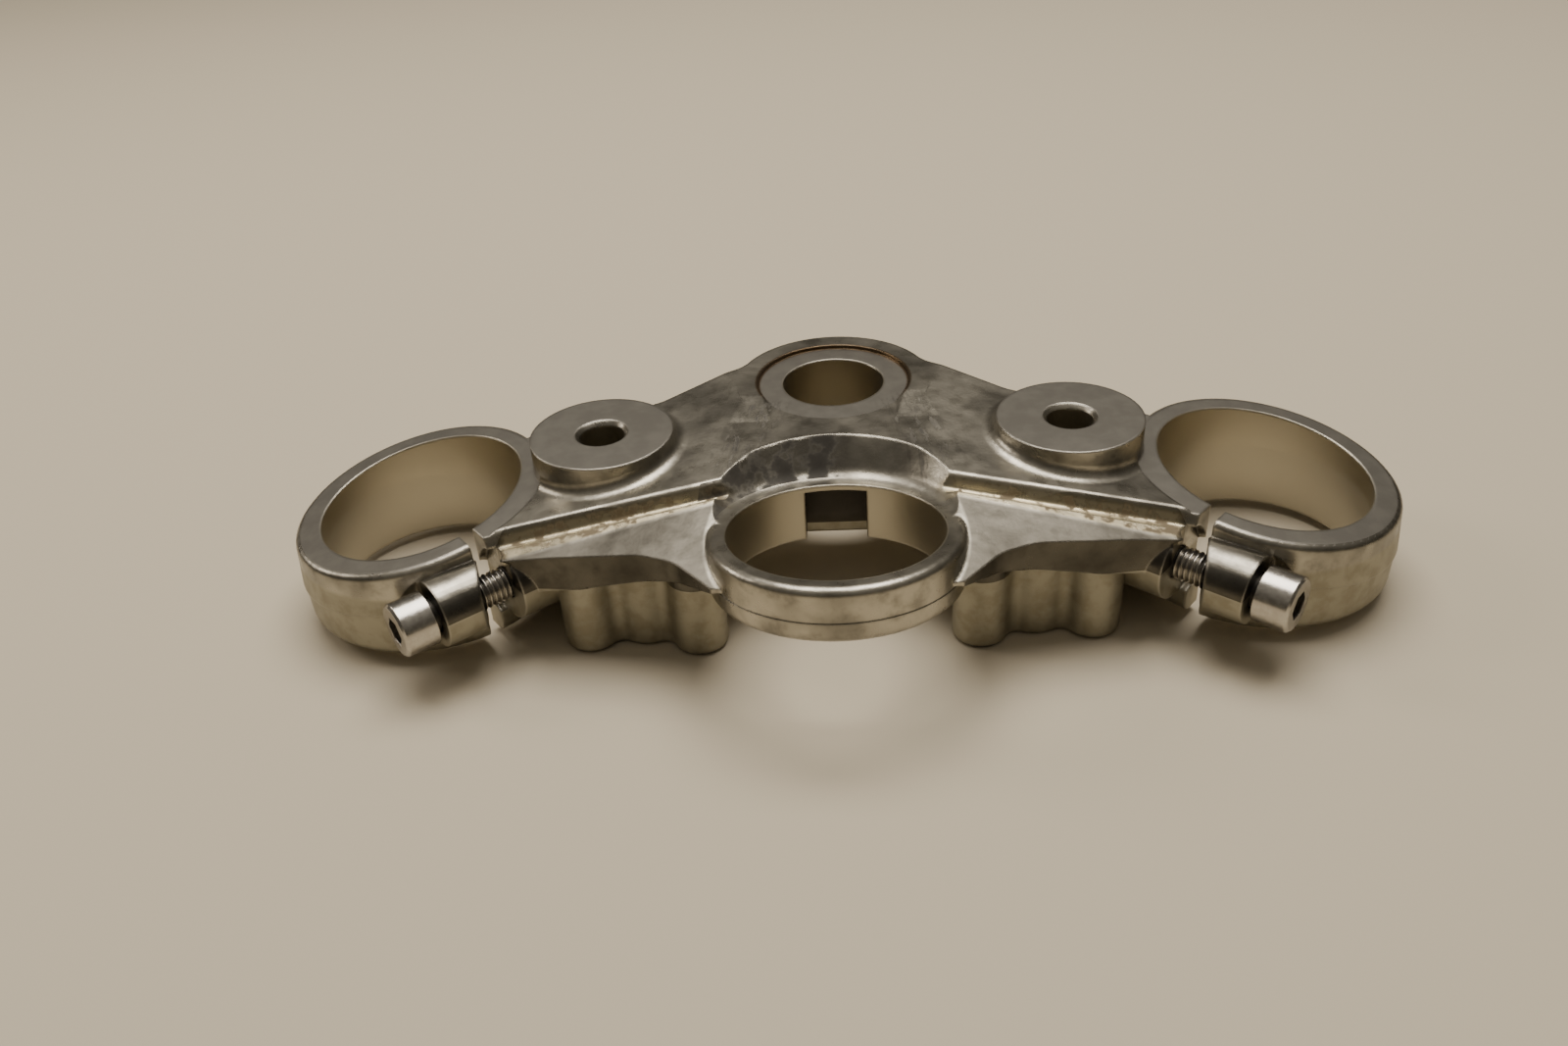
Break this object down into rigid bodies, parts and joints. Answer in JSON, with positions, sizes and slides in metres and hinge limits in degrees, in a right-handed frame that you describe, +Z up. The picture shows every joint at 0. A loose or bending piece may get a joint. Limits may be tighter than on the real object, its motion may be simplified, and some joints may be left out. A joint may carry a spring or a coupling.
{
  "type": "motorcycle upper fork yoke",
  "caption": "Cast upper fork yoke: split clamp ring at each end with a pinch screw, steering stem bore, handlebar bosses and an ignition lock ring.",
  "frame": {"origin": "on the steering stem axis at the machined seat of the stem nut", "axes": "+X to the right along the line of the fork tubes, +Y to the rear, +Z up along the stem axis"},
  "size_m": [0.2684, 0.1167, 0.04],
  "materials": {
    "cast_aluminium": "satin cast aluminium with machined faces",
    "screw_steel": "bright plated steel"
  },
  "bodies": {
    "yoke": {"yoke_casting": "cast_aluminium"},
    "screw_left": {"pinch_screw_left": "screw_steel"},
    "screw_right": {"pinch_screw_right": "screw_steel"}
  },
  "joints": [
    {"name": "pinch_left_travel", "type": "slide", "parent": "yoke", "child": "screw_left", "axis": [-0.7727, -0.6347, 0], "range_m": [-0.0014, 0.0102]},
    {"name": "pinch_right_travel", "type": "slide", "parent": "yoke", "child": "screw_right", "axis": [0.7727, -0.6347, 0], "range_m": [-0.0014, 0.0102]}
  ]
}
